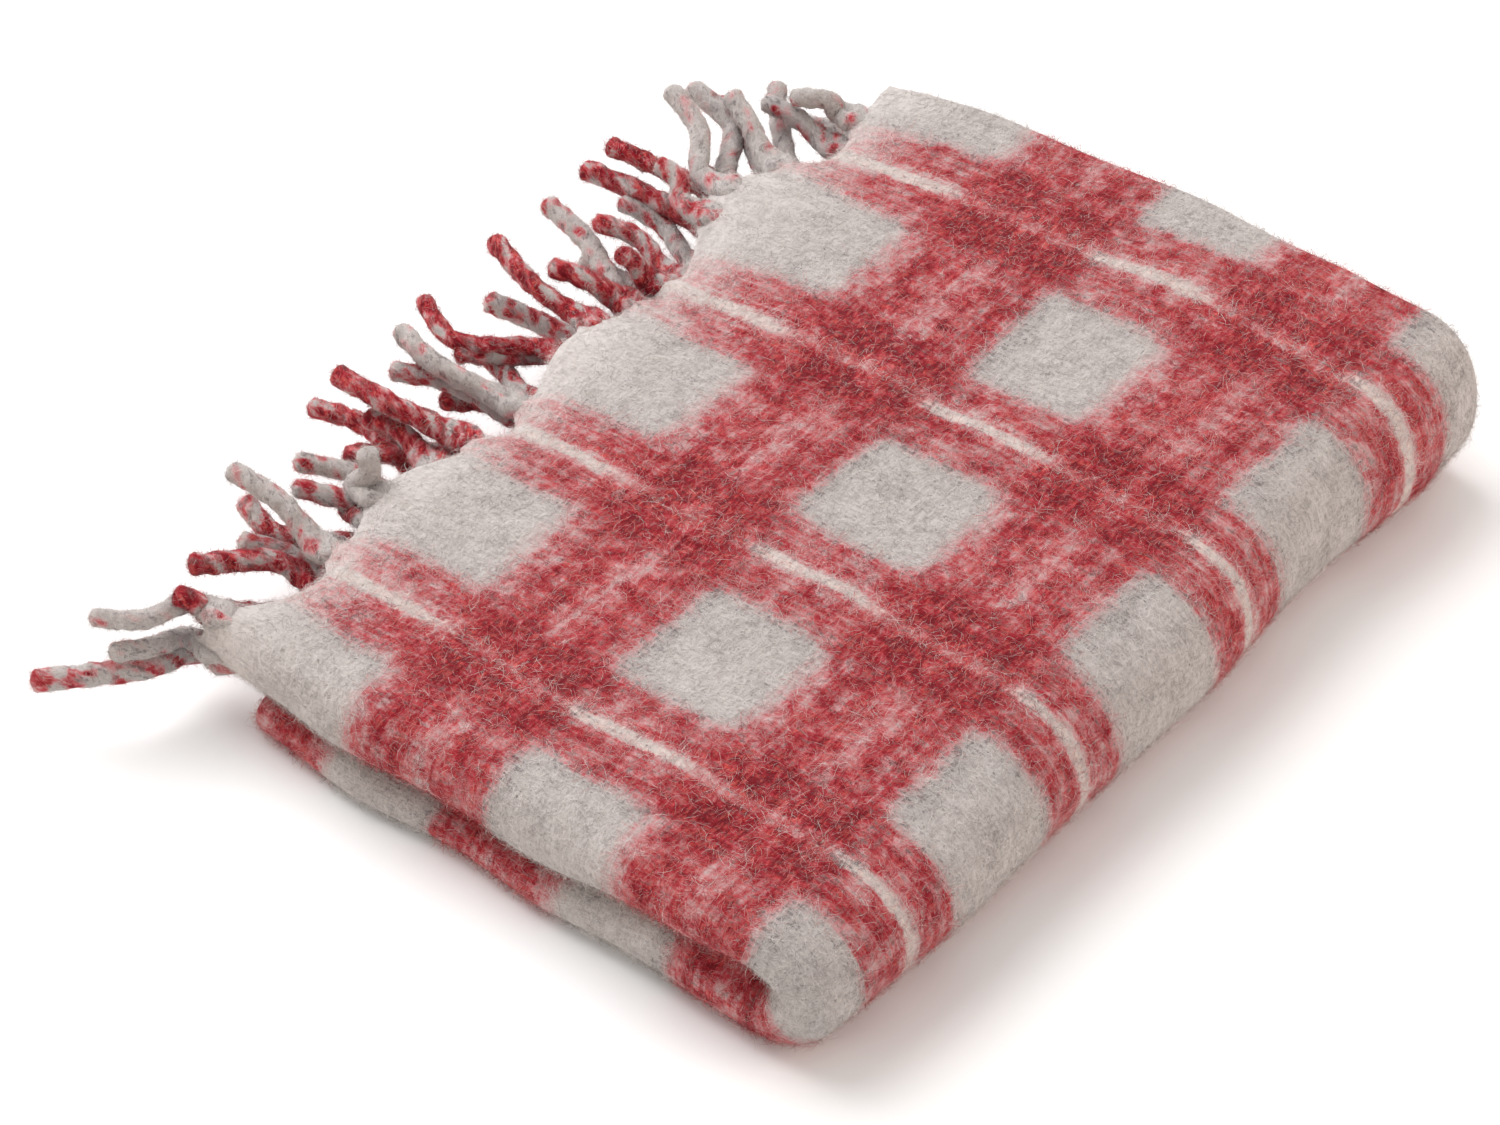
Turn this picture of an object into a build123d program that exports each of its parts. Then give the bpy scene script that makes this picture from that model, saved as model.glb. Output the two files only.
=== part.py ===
"""Folded throw blanket with twisted fringe.

One woven cloth, folded crosswise, then lengthwise, then crosswise again over a large round bend. The folded
stack has eight layers of cloth: an upper half and a lower half of four layers each, joined by the round bend
at +X. In each half an outer wrap of cloth goes round an inner wrap, with the lengthwise fold at -Y and the
selvedges at +Y. The first crosswise fold closes the lower half at -X, and the fringe leaves the upper half
there.

Frame: the origin is the centre of the folded cloth's resting face, +X points to the round bend, +Y to the
selvedges and +Z up. Millimetres.
"""
import os
from math import hypot, radians, sqrt, tan

from build123d import *

# ---- driving dimensions ----
folded_width = 650.0        # along Y: half of a 1.30 m wide throw
folded_length = 450.0       # along X: fringe line to the crown of the round bend
layer_pitch = 12.0          # one lofty layer of brushed cloth
layer_gap = 0.6             # air between neighbouring layers
body_gap = 0.3              # clearance between the upper half and the bend
lower_set_back = 18.0       # the lower half stops this far short of the fringe line
tassel_diameter = 7.0

# ---- worked out from them ----
layer_thickness = layer_pitch - layer_gap
half_height = 4 * layer_pitch - layer_gap            # four layers and the air between them
lower_base = 0.0
upper_base = 4 * layer_pitch
bend_height = (upper_base + half_height) / 2         # the bend's axis, midway up the stack
fringe_x = -folded_length / 2
bend_x = folded_length / 2 - bend_height             # where the flat layers meet the round bend
fold_y = -folded_width / 2                           # crown of the lengthwise fold
selvedge_y = folded_width / 2
outer_radius = half_height / 2                       # lengthwise fold of the outer wrap
inner_radius = outer_radius - layer_pitch            # lengthwise fold of the inner wrap
fold_centre_y = fold_y + outer_radius
end_fold_radius = layer_pitch - layer_gap / 2        # first crosswise fold, two layers high
lower_end_x = fringe_x + lower_set_back + end_fold_radius

# Twisted tassels: row 1 is the lowest cloth edge of the upper half and row 4 the top one. Each line holds the
# row, where the root stands along Y, and the tip's X, Y and Z.
tassels = [
    (1, -312, -298, -404, 48),
    (1, -319, -268, -368, 64),
    (1, -264, -262, -292, 32),
    (1, -228, -286, -243, 52),
    (1, -190, -309, -214, 55),
    (1, -122, -335, -128, 52),
    (1, -30, -278, -70, 55),
    (1, 40, -318, 20, 56),
    (1, 95, -297, 86, 50),
    (1, 142, -316, 150, 58),
    (1, 207, -299, 200, 50),
    (1, 300, -276, 285, 50),
    (2, -232, -285, -284, 68),
    (2, -152, -299, -178, 68),
    (2, -92, -278, -155, 60),
    (2, -34, -285, -20, 56),
    (2, 10, -289, -42, 68),
    (2, 70, -342, 108, 68),
    (2, 162, -347, 144, 70),
    (2, 240, -305, 300, 68),
    (3, -304, -260, -317, 82),
    (3, -184, -274, -204, 78),
    (3, -122, -290, -124, 70),
    (3, -56, -300, -92, 78),
    (3, -2, -330, -26, 80),
    (3, 106, -296, 98, 80),
    (3, 178, -339, 166, 82),
    (3, 196, -330, 238, 86),
    (3, 222, -311, 262, 80),
    (3, 272, -285, 260, 82),
    (4, -312, -278, -368, 84),
    (4, -224, -306, -228, 92),
    (4, -176, -246, -170, 102),
    (4, -100, -325, -114, 92),
    (4, -58, -313, -68, 94),
    (4, 28, -324, 36, 92),
    (4, 60, -280, 40, 92),
    (4, 86, -252, 76, 98),
    (4, 150, -272, 160, 94),
    (4, 178, -325, 206, 100),
    (4, 222, -292, 246, 96),
    (4, 288, -268, 266, 92),
]


def write(shape, name):
    """Labels a finished piece and writes it under its own name."""
    shape.label = name
    export_step(shape, f"parts/{name}.step")


def wrap_section(x, base, fold_radius):
    """Section across the stack: one layer of cloth folded lengthwise round the fold centre."""
    centre_z = base + outer_radius
    with BuildSketch(Plane.YZ.offset(x)) as section:
        with BuildLine():
            for radius in (fold_radius, fold_radius - layer_thickness):
                Line((selvedge_y, centre_z + radius), (fold_centre_y, centre_z + radius))
                CenterArc((fold_centre_y, centre_z), radius, 90, 180)
                Line((fold_centre_y, centre_z - radius), (selvedge_y, centre_z - radius))
            for side in (1, -1):
                Line(
                    (selvedge_y, centre_z + side * fold_radius),
                    (selvedge_y, centre_z + side * (fold_radius - layer_thickness)),
                )
        make_face()
    return section.sketch


def flat_wrap(name, start_x, end_x, base, fold_radius):
    """The straight run of one wrap, from the fringe end to the round bend."""
    with BuildPart() as wrap:
        extrude(wrap_section(start_x, base, fold_radius), amount=end_x - start_x, dir=(1, 0, 0))
    write(wrap.part, name)


def bent_wrap(name, fold_radius):
    """The same wrap carried round the bend, from the lower half up to the upper half."""
    bend_axis = Axis((bend_x, 0, bend_height), (0, -1, 0))
    with BuildPart() as wrap:
        revolve(wrap_section(bend_x, lower_base, fold_radius), axis=bend_axis, revolution_arc=180)
    write(wrap.part, name)


def end_fold(name):
    """First crosswise fold: a half round roll along the lower half's end, following the lengthwise fold."""
    centre_z = lower_base + outer_radius
    route_radius = layer_pitch
    with BuildPart() as fold:
        with BuildLine() as route:
            bottom = Line(
                (lower_end_x, selvedge_y, centre_z - route_radius),
                (lower_end_x, fold_centre_y, centre_z - route_radius),
            )
            turn = ThreePointArc(
                bottom @ 1,
                (lower_end_x, fold_centre_y - route_radius, centre_z),
                (lower_end_x, fold_centre_y, centre_z + route_radius),
            )
            Line(turn @ 1, (lower_end_x, selvedge_y, centre_z + route_radius))
        with BuildSketch(Plane.XZ.offset(-selvedge_y)):
            with Locations((lower_end_x, centre_z - route_radius)):
                Circle(end_fold_radius)
                Circle(layer_gap / 2, mode=Mode.SUBTRACT)
                Rectangle(
                    end_fold_radius,
                    2 * end_fold_radius,
                    align=(Align.MIN, Align.CENTER),
                    mode=Mode.SUBTRACT,
                )
        sweep(path=route.line)
    write(fold.part, name)


def edge_height(row, y):
    """Height of the cloth edge that a tassel grows from, following the lengthwise fold near -Y."""
    middle = upper_base + outer_radius
    radius = (outer_radius if row in (1, 4) else inner_radius) - layer_thickness / 2
    if y < fold_centre_y:
        radius = sqrt(max(radius**2 - (fold_centre_y - y) ** 2, 0))
    return middle + radius * (1 if row > 2 else -1)


def corner_radius(before, corner, after):
    """The largest soft bend that two straight runs allow."""
    first = Vector(*corner) - Vector(*before)
    second = Vector(*after) - Vector(*corner)
    return 0.45 * min(first.length, second.length) / tan(radians(first.get_angle(second)) / 2)


def tassel(name, row, root_y, tip_x, tip_y, tip_z):
    """One plied tassel: straight out of the cloth edge, then one long bend towards its tip."""
    root_z = edge_height(row, root_y)
    reach = tip_x - fringe_x
    points = [
        (fringe_x, root_y, root_z),
        (fringe_x + 0.34 * reach, root_y, root_z),
        (fringe_x + 0.68 * reach, root_y + 0.38 * (tip_y - root_y), root_z + 0.4 * (tip_z - root_z)),
        (tip_x, tip_y, tip_z),
    ]
    radii = [corner_radius(*points[i : i + 3]) for i in range(2)]
    with BuildPart() as cord:
        with BuildLine() as route:
            FilletPolyline(*points, radius=radii)
        with BuildSketch(Plane(origin=points[0], z_dir=(-1, 0, 0))):
            Circle(tassel_diameter / 2)
        sweep(path=route.line)
    write(cord.part, name)


os.makedirs("parts", exist_ok=True)

flat_wrap("lower_outer_wrap", lower_end_x, bend_x, lower_base, outer_radius)
flat_wrap("lower_inner_wrap", lower_end_x, bend_x, lower_base, inner_radius)
end_fold("lower_end_fold")
bent_wrap("bend_outer_wrap", outer_radius)
bent_wrap("bend_inner_wrap", inner_radius)
flat_wrap("upper_outer_wrap", fringe_x, bend_x - body_gap, upper_base, outer_radius)
flat_wrap("upper_inner_wrap", fringe_x, bend_x - body_gap, upper_base, inner_radius)
for number, (row, root_y, tip_x, tip_y, tip_z) in enumerate(tassels, start=1):
    tassel(f"tassel_{number:02d}", row, root_y, tip_x, tip_y, tip_z)
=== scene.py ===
"""The look of a folded plaid throw: brushed cloth in eight layers round one big bend, and a fringe.

The cloth is made from three coordinates: the distance along the folded stack, the distance across it
round the lengthwise fold, and the distance from the middle of a pair of layers. "settle" then moves the
ideal stack to where soft cloth really lies. Lengths are in metres.
"""
import math

import bpy
import numpy as np
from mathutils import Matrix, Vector


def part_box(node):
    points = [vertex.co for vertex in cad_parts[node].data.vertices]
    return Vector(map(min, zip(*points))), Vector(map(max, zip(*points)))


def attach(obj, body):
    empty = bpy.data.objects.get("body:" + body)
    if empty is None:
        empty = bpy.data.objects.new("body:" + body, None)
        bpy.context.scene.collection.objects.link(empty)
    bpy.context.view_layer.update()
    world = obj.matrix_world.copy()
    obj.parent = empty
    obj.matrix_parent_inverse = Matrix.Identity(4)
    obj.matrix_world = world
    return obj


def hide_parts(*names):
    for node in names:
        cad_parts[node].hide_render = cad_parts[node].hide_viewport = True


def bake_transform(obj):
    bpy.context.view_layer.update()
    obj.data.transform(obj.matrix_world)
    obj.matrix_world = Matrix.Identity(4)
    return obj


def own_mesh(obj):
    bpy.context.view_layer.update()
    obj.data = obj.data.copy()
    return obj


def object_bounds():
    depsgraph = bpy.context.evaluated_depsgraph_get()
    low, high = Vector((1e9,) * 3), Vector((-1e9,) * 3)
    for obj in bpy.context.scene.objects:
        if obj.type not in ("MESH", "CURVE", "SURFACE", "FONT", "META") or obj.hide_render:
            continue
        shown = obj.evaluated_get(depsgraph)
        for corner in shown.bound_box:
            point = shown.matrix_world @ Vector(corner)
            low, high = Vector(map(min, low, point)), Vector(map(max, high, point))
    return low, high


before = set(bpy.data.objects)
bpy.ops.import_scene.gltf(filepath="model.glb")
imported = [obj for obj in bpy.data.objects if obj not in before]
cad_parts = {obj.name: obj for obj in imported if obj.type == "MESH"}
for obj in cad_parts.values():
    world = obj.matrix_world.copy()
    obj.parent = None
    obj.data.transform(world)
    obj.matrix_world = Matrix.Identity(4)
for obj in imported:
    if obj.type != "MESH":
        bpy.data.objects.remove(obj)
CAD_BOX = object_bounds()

MM = 0.001
TURN = 2 * math.pi

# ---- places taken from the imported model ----
UPPER_LOW, UPPER_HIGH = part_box("upper_outer_wrap")
LOWER_LOW, LOWER_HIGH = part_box("lower_outer_wrap")
INNER_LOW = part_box("lower_inner_wrap")[0]
FRINGE_X = UPPER_LOW[0]
BEND_X = LOWER_HIGH[0]
FOLD_Y = UPPER_LOW[1]
SELVEDGE_Y = UPPER_HIGH[1]
STACK_TOP = UPPER_HIGH[2]
BEND_Z = STACK_TOP / 2  # height of the big bend's axis
PITCH = INNER_LOW[2] - LOWER_LOW[2]  # one layer of cloth and the air over it
OUTER_RADIUS = (LOWER_HIGH[2] - LOWER_LOW[2]) / 2
FOLD_CENTRE_Y = FOLD_Y + OUTER_RADIUS
FOLD_CENTRE_RHO = BEND_Z - OUTER_RADIUS  # from the bend's axis to the lengthwise fold's
LOWER_END_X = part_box("lower_end_fold")[1][0]

# ---- the cloth ----
THICKNESS = 10.2 * MM
PAIR_OFFSET = PITCH / 2  # outer and inner wrap, each side of the pair's middle
OUTER_RUN = math.pi * (BEND_Z - PITCH / 2)  # cloth that the outermost layer uses in the bend
LOWER_SLACK = 1.1  # cloth per length in the lower half, where it ripples
GRID = 5 * MM  # size of the cloth's faces
FRINGE_ROUNDING = 8 * MM  # the fringed edge is rounded over this length,
FRINGE_THIN = 0.6  # and has this share of the thickness, which grows over FRINGE_REACH
FRINGE_REACH = 35 * MM

# Settled heights in mm against x in mm, at the lengthwise fold and at the selvedges.
HEIGHT_X = (-225, -114, -20, 60, 120, 177)
TOP_AT_FOLD = (77, 80, 82, 83, 84, 85)
TOP_AT_SELVEDGE = (91, 99, 104, 107, 108, 108)
SEAM_AT_FOLD = (28, 28, 28, 37, 46, 47.5)
SEAM_AT_SELVEDGE = (41, 45, 48, 48.5, 48, 47.5)
# How far the cloth bulges out in mm: the selvedges against x, and the big bend against y.
SELVEDGE_BULGE = (0, 9, 13, 16, 17, 14)
BEND_BULGE_Y = (-325, -260, 60, 190, 260, 325)
BEND_BULGE = (2, 7, 7, 2, 6, 2)

# ---- the plaid, in flat cloth coordinates: u from the fringe line, v across, from the folded middle ----
STRIPE_PERIOD = 163 * MM  # lengthwise stripes
STRIPE_V = 83 * MM  # cream line of one of them
BAND_PERIOD = 195 * MM  # crosswise bands
BAND_U = 92 * MM  # where one of them begins to blush
FIRST_BAND = 80 * MM  # there is none nearer the fringe than this,
BAND_START = 20 * MM  # and it begins over this length
FADE = 0.45  # share of the stripes' red that is left at the fringe
FADE_REACH = 85 * MM
STREAKS = 1.05  # how much single yarns differ in redness
FRINGE_PALE = 0.5  # share of pale hairs at the fringe
FRINGE_PALE_REACH = 55 * MM
STRAY_BLUSH = 0.12  # share of blushed hairs that lie over the red
STRIPE_RED, BAND_RED = 0.51, 0.60
BOTH_RED = 0.23  # this much less where they cross
CREAM_IN_RED = 0.5  # how much weaker the cream lines are where both are red,
CREAM_IN_BAND = 0.68  # and the cream stripes where they cross a band
TWIST_RED = 0.85  # share of their red that the fringe's yarns show

# Positions in mm and the shares of red, cream and dark yarn there. They repeat with the period.
STRIPE_YARNS = (
    (0, 0.2, 0.95, 0.0), (3, 0.25, 0.75, 0.0), (7, 0.8, 0.15, 0.0), (13, 1.0, 0.0, 0.1),
    (24, 0.85, 0.0, 0.15), (30, 0.95, 0.0, 0.15), (37, 0.35, 0.0, 0.2), (44, 0.08, 0.0, 0.1),
    (50, 0.0, 0.0, 0.0), (114, 0.0, 0.0, 0.0), (120, 0.1, 0.0, 0.2), (127, 0.5, 0.0, 0.2),
    (133, 0.9, 0.0, 0.15), (150, 1.0, 0.0, 0.15), (157, 0.85, 0.15, 0.0), (160, 0.25, 0.75, 0.0),
    (163, 0.2, 0.95, 0.0),
)
BAND_YARNS = (
    (0, 0.0, 0.0, 0.0), (12, 0.3, 0.0, 0.0), (26, 0.7, 0.0, 0.05), (36, 0.95, 0.0, 0.15),
    (52, 1.0, 0.0, 0.15), (62, 0.85, 0.05, 0.0), (69, 0.6, 0.2, 0.0), (76, 0.75, 0.1, 0.0),
    (84, 0.95, 0.0, 0.1), (96, 0.85, 0.0, 0.2), (108, 0.95, 0.0, 0.15), (115, 0.4, 0.0, 0.2),
    (121, 0.1, 0.0, 0.3), (128, 0.0, 0.0, 0.15), (134, 0.0, 0.0, 0.0), (195, 0.0, 0.0, 0.0),
)


def linear(*srgb):
    """A colour as a paint chart gives it, 0 to 255, in the linear numbers that shaders use."""
    return tuple(c / 255 / 12.92 if c < 10 else ((c / 255 + 0.055) / 1.055) ** 2.4 for c in srgb)


GREY, PALE_GREY, DARK_GREY = linear(162, 154, 151), linear(194, 187, 184), linear(84, 74, 74)
HAZE = linear(216, 208, 205)
CREAM, SALMON = linear(214, 196, 188), linear(216, 86, 76)
# From pale to deep: the redder the felted yarn is, the darker.
REDS = (
    (0.0, linear(190, 168, 166)), (0.25, linear(190, 140, 141)), (0.42, linear(182, 102, 105)),
    (0.58, linear(168, 61, 69)), (0.76, linear(150, 28, 41)), (0.90, linear(134, 14, 30)),
    (1.0, linear(108, 10, 24)),
)
# The fibres' tones. In red yarn the tone follows the redness.
GREY_TONES = {
    "pale": linear(207, 200, 196),
    "grey": linear(182, 175, 172),
    "smoke": linear(138, 129, 126),
}
RED_TONES = {
    "blush": linear(192, 147, 146),
    "salmon": linear(190, 88, 84),
    "red": linear(158, 34, 45),
    "crimson": linear(132, 12, 29),
    "wine": linear(96, 38, 45),
}
TONE_FROM = (0.36, 0.52, 0.74)  # the redness from which a fibre is salmon, red and crimson

# ---- the fringe ----
ROW_LEVELS = (0.12, 0.37, 0.63, 0.88)  # heights of the upper half's four layers, as shares of it
# Row (1 is the lowest layer), root y, middle (x, y, z) and tip (x, y, z), in mm, and the red shares of the
# two strands.
TASSELS = (
    (1, -312, (-262, -352, 44), (-301, -404, 48), 0.15, 0.55),
    (2, -319, (-259, -346, 58), (-270, -368, 64), 0.05, 0.1),
    (1, -264, (-250, -268, 34), (-270, -276, 32), 0.2, 0.5),
    (1, -228, (-262, -224, 42), (-287, -241, 52), 0.1, 0.15),
    (1, -190, (-276, -217, 45), (-308, -215, 55), 0.3, 0.5),
    (1, -122, (-300, -112, 47), (-337, -125, 52), 1.0, 0.6),
    (1, -30, (-262, -48, 46), (-275, -71, 55), 0.8, 1.0),
    (1, 40, (-285, 31, 46), (-316, 17, 56), 0.2, 0.4),
    (1, 95, (-270, 98, 44), (-300, 90, 50), 0.0, 0.1),
    (1, 142, (-282, 152, 48), (-313, 145, 58), 0.05, 0.2),
    (1, 207, (-279, 212, 46), (-302, 206, 50), 0.8, 1.0),
    (1, 300, (-255, 300, 46), (-276, 290, 50), 0.0, 0.15),
    (2, -232, (-256, -244, 56), (-283, -287, 68), 0.9, 0.5),
    (2, -152, (-270, -158, 58), (-297, -180, 68), 0.1, 0.3),
    (2, -92, (-262, -122, 54), (-283, -151, 60), 1.0, 0.7),
    (2, -34, (-262, -24, 52), (-285, -20, 54), 0.6, 0.3),
    (2, 10, (-258, -8, 58), (-287, -44, 68), 0.1, 0.35),
    (2, 70, (-300, 98, 60), (-341, 104, 68), 0.05, 0.2),
    (2, 162, (-306, 156, 62), (-344, 143, 70), 0.7, 0.9),
    (2, 240, (-279, 268, 60), (-303, 294, 68), 0.0, 0.1),
    (3, -304, (-252, -312, 74), (-259, -322, 84), 1.0, 0.8),
    (3, -184, (-250, -186, 68), (-274, -205, 78), 0.1, 0.45),
    (3, -122, (-262, -118, 66), (-290, -124, 70), 0.8, 0.5),
    (3, -56, (-272, -68, 70), (-300, -89, 78), 0.15, 0.45),
    (3, -2, (-290, -38, 73), (-329, -27, 80), 1.0, 0.8),
    (3, 106, (-268, 111, 72), (-295, 98, 80), 0.6, 0.4),
    (3, 178, (-300, 172, 74), (-337, 161, 82), 1.0, 0.8),
    (3, 196, (-290, 232, 76), (-331, 238, 86), 0.0, 0.1),
    (3, 222, (-284, 236, 74), (-312, 244, 80), 0.15, 0.6),
    (3, 272, (-264, 266, 76), (-288, 260, 82), 0.05, 0.2),
    (4, -312, (-263, -345, 78), (-284, -368, 84), 0.0, 0.1),
    (4, -224, (-268, -222, 82), (-304, -228, 92), 0.0, 0.15),
    (4, -176, (-240, -172, 86), (-243, -171, 103), 0.0, 0.05),
    (4, -100, (-268, -117, 85), (-314, -124, 92), 1.0, 0.7),
    (4, -58, (-276, -73, 86), (-310, -69, 94), 0.0, 0.15),
    (4, 28, (-280, 22, 86), (-323, 34, 92), 1.0, 0.8),
    (4, 60, (-256, 46, 87), (-278, 36, 92), 0.9, 0.7),
    (4, 86, (-243, 76, 90), (-245, 66, 100), 0.9, 1.0),
    (4, 150, (-274, 158, 87), (-292, 158, 92), 0.1, 0.7),
    (4, 178, (-294, 203, 90), (-328, 214, 100), 0.0, 0.15),
    (4, 222, (-277, 232, 88), (-298, 239, 96), 0.0, 0.1),
    (4, 288, (-250, 281, 88), (-268, 264, 92), 0.0, 0.15),
)


# ---- small sums ----
def mix(a, b, t):
    return a + (b - a) * t


def smooth(t):
    t = np.clip(t, 0, 1)
    return t * t * (3 - 2 * t)


def waves(points, wavelength, seed, count=14):
    """Smooth noise of about unit size: a sum of plane waves with fixed random directions and phases."""
    r = np.random.default_rng(seed)
    direction = r.normal(size=(count, 3))
    direction /= np.linalg.norm(direction, axis=1)[:, None]
    number = TURN / (wavelength * r.uniform(0.7, 1.6, count))
    phase = r.uniform(0, TURN, count)
    total = np.zeros(len(points))
    for d, k, p in zip(direction, number, phase):
        total += np.cos(points @ d * k + p)
    return total * math.sqrt(2 / count)


def unit(vectors):
    return vectors / np.maximum(np.linalg.norm(vectors, axis=-1, keepdims=True), 1e-9)


def yarn_share(at, origin, period, table, column):
    """Share of one kind of yarn at places along the cloth."""
    where = np.mod(at - origin, period) / MM
    return np.interp(where, [row[0] for row in table], [row[column] for row in table])


# ---- how the stack settles ----
PUFF = 5 * MM  # the grey squares puff up beside the fringe and the red stripes sink
PUFF_OUT = 9 * MM
PUFF_REACH = 55 * MM
DROOP = 7 * MM  # the upper half's last bit hangs down at the fringe
DROOP_REACH = 22 * MM
PULL_OUT = 17 * MM  # each tassel draws the cloth's edge out into a point
PULL_WIDTH = 8 * MM
PULL_REACH = 42 * MM
CORNER_PULL = 9 * MM  # the folded corner is drawn out further, over CORNER_REACH each way
CORNER_REACH = 60 * MM
LOBE_OUT = 22 * MM  # near the selvedges one lobe of the fringed edge reaches further out
LOBE_Y, LOBE_WIDTH, LOBE_REACH = 184 * MM, 46 * MM, 70 * MM
HOLLOW = 12 * MM  # the crease sinks in and opens where it meets the big bend
HOLLOW_OPEN = 0.55
HOLLOW_X = -2 * MM  # from the bend's axis
HOLLOW_SIZE = (19 * MM, 60 * MM, 13 * MM)
ROW_SPREAD = 0.13  # how far up and down a tassel's pull is felt, as a share of the upper half
BULGE_Y = 0.15  # the selvedges begin to bulge out here
BULGE_REACH = 0.17
RIPPLE = (1.6 * MM, 1.6 * MM, 1.2 * MM)
RIPPLE_SEEDS = (3, 5, 7)
RIPPLE_LENGTH = 120 * MM
STILL_REACH = 35 * MM  # no ripple where the two halves turn about each other,
FLOOR_REACH = 12 * MM  # and no ripple on the floor


def height(at_fold, at_selvedge, x, y):
    """Heights in metres from those at the lengthwise fold and at the selvedges."""
    across = np.clip((y - FOLD_Y) / (SELVEDGE_Y - FOLD_Y), 0, 1)
    return MM * mix(np.interp(x / MM, HEIGHT_X, at_fold), np.interp(x / MM, HEIGHT_X, at_selvedge), across)


def tassel_pull(x, y, level):
    """How strongly each point of the upper half is drawn out into the root of a tassel, 0 to 1."""
    pull = np.zeros(len(x))
    close = np.flatnonzero((x < FRINGE_X + PULL_REACH) & (level > 0))
    edge = smooth(1 - (x[close] - FRINGE_X) / PULL_REACH)
    for row, root_y, *_ in TASSELS:
        aside = (y[close] - root_y * MM) / PULL_WIDTH
        above = (level[close] - ROW_LEVELS[row - 1]) / ROW_SPREAD
        pull[close] = np.maximum(pull[close], edge * np.exp(-aside ** 2 - above ** 2))
    return pull


def settled_height(x, y, upper, share):
    """Heights between the floor, the seam between the two halves and the top."""
    top = height(TOP_AT_FOLD, TOP_AT_SELVEDGE, x, y)
    seam = height(SEAM_AT_FOLD, SEAM_AT_SELVEDGE, x, y)
    return np.where(upper, seam + (top - seam) * share, seam * share)


def fringe_edge(x, y, z, upper, share):
    """New x and z beside the fringe, where the upper half puffs up, droops and is drawn out."""
    puff = -np.cos(TURN * (y - STRIPE_V) / STRIPE_PERIOD)
    near = np.exp(-np.clip(x - FRINGE_X, 0, None) / PUFF_REACH)
    raised = upper * smooth(share * 1.5)
    droop = smooth(1 - (x - FRINGE_X) / DROOP_REACH)
    new_z = z + PUFF * near * puff * raised
    new_z = new_z - DROOP * droop * upper * share
    lobe = np.exp(-((y - LOBE_Y) / LOBE_WIDTH) ** 2) * smooth(1 - (x - FRINGE_X) / LOBE_REACH)
    corner = smooth(1 - (y - FOLD_Y) / CORNER_REACH) * smooth(1 - (x - FRINGE_X) / CORNER_REACH)
    new_x = x - PUFF_OUT * puff * droop * mix(0.35, 1, raised) * upper
    new_x = new_x - PULL_OUT * tassel_pull(x, y, np.where(upper, share, -1))
    new_x = new_x - LOBE_OUT * lobe * upper
    new_x = new_x - CORNER_PULL * corner * upper
    return new_x, new_z


def ripple(points):
    """Slow waves of the whole stack, along x, y and z."""
    x, _, z = points.T
    on_floor = smooth(z / FLOOR_REACH)
    by_end = smooth(np.abs(x - BEND_X) / STILL_REACH)
    by_axis = smooth(np.hypot(x - BEND_X, z - BEND_Z) / STILL_REACH)
    parts = []
    for size, seed, free in zip(RIPPLE, RIPPLE_SEEDS, (by_end, by_axis, by_axis)):
        parts.append(size * on_floor * free * waves(points * (1, 1, 0.6), RIPPLE_LENGTH, seed))
    return np.stack(parts, 1)


def settle(points):
    """Moves points of the ideal stack to where the soft cloth really lies."""
    x, y, z = points.T
    upper = z > BEND_Z
    share = np.where(upper, (z - BEND_Z) / (STACK_TOP - BEND_Z), z / BEND_Z)
    new_x, new_z = fringe_edge(x, y, settled_height(x, y, upper, share), upper, share)
    bulge = np.interp(y / MM, BEND_BULGE_Y, BEND_BULGE) * MM
    new_x = new_x + bulge * smooth((x - BEND_X) / (BEND_Z * 0.9))
    out = np.interp(x / MM, HEIGHT_X, SELVEDGE_BULGE) * MM
    new_y = y + out * smooth((y - BULGE_Y) / BULGE_REACH) * smooth(z / STACK_TOP * 1.1)
    from_hollow = (x - BEND_X - HOLLOW_X, y - FOLD_Y, z - BEND_Z)
    hollow = np.exp(-sum((part / size) ** 2 for part, size in zip(from_hollow, HOLLOW_SIZE)))
    new_y = new_y + HOLLOW * hollow
    new_z = new_z + HOLLOW_OPEN * (z - BEND_Z) * hollow
    return np.stack([new_x, new_y, new_z], 1) + ripple(points)


# ---- meshes ----
def new_object(name, verts, faces, materials, material_index=None, normals=None):
    mesh = bpy.data.meshes.new(name)
    faces = np.asarray(faces, np.int32)
    mesh.vertices.add(len(verts))
    mesh.vertices.foreach_set("co", np.asarray(verts, np.float32).ravel())
    mesh.loops.add(faces.size)
    mesh.loops.foreach_set("vertex_index", faces.ravel())
    mesh.polygons.add(len(faces))
    mesh.polygons.foreach_set("loop_start", np.arange(0, faces.size, faces.shape[1], dtype=np.int32))
    mesh.polygons.foreach_set("use_smooth", np.ones(len(faces), bool))
    if material_index is not None:
        mesh.polygons.foreach_set("material_index", np.asarray(material_index, np.int32))
    mesh.update(calc_edges=True)
    for material in materials:
        mesh.materials.append(material)
    if normals is not None:
        mesh.normals_split_custom_set_from_vertices(np.asarray(normals, np.float32))
    obj = bpy.data.objects.new(name, mesh)
    bpy.context.scene.collection.objects.link(obj)
    return obj


def set_vectors(obj, name, values):
    attribute = obj.data.attributes.new(name, "FLOAT_VECTOR", "POINT")
    attribute.data.foreach_set("vector", np.asarray(values, np.float32).ravel())


def grid_faces(rows, columns):
    """Quads of a grid of points, stored row by row."""
    a = (np.arange(rows - 1)[:, None] * columns + np.arange(columns - 1)).ravel()
    return np.stack([a, a + columns, a + columns + 1, a + 1], 1)


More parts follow.
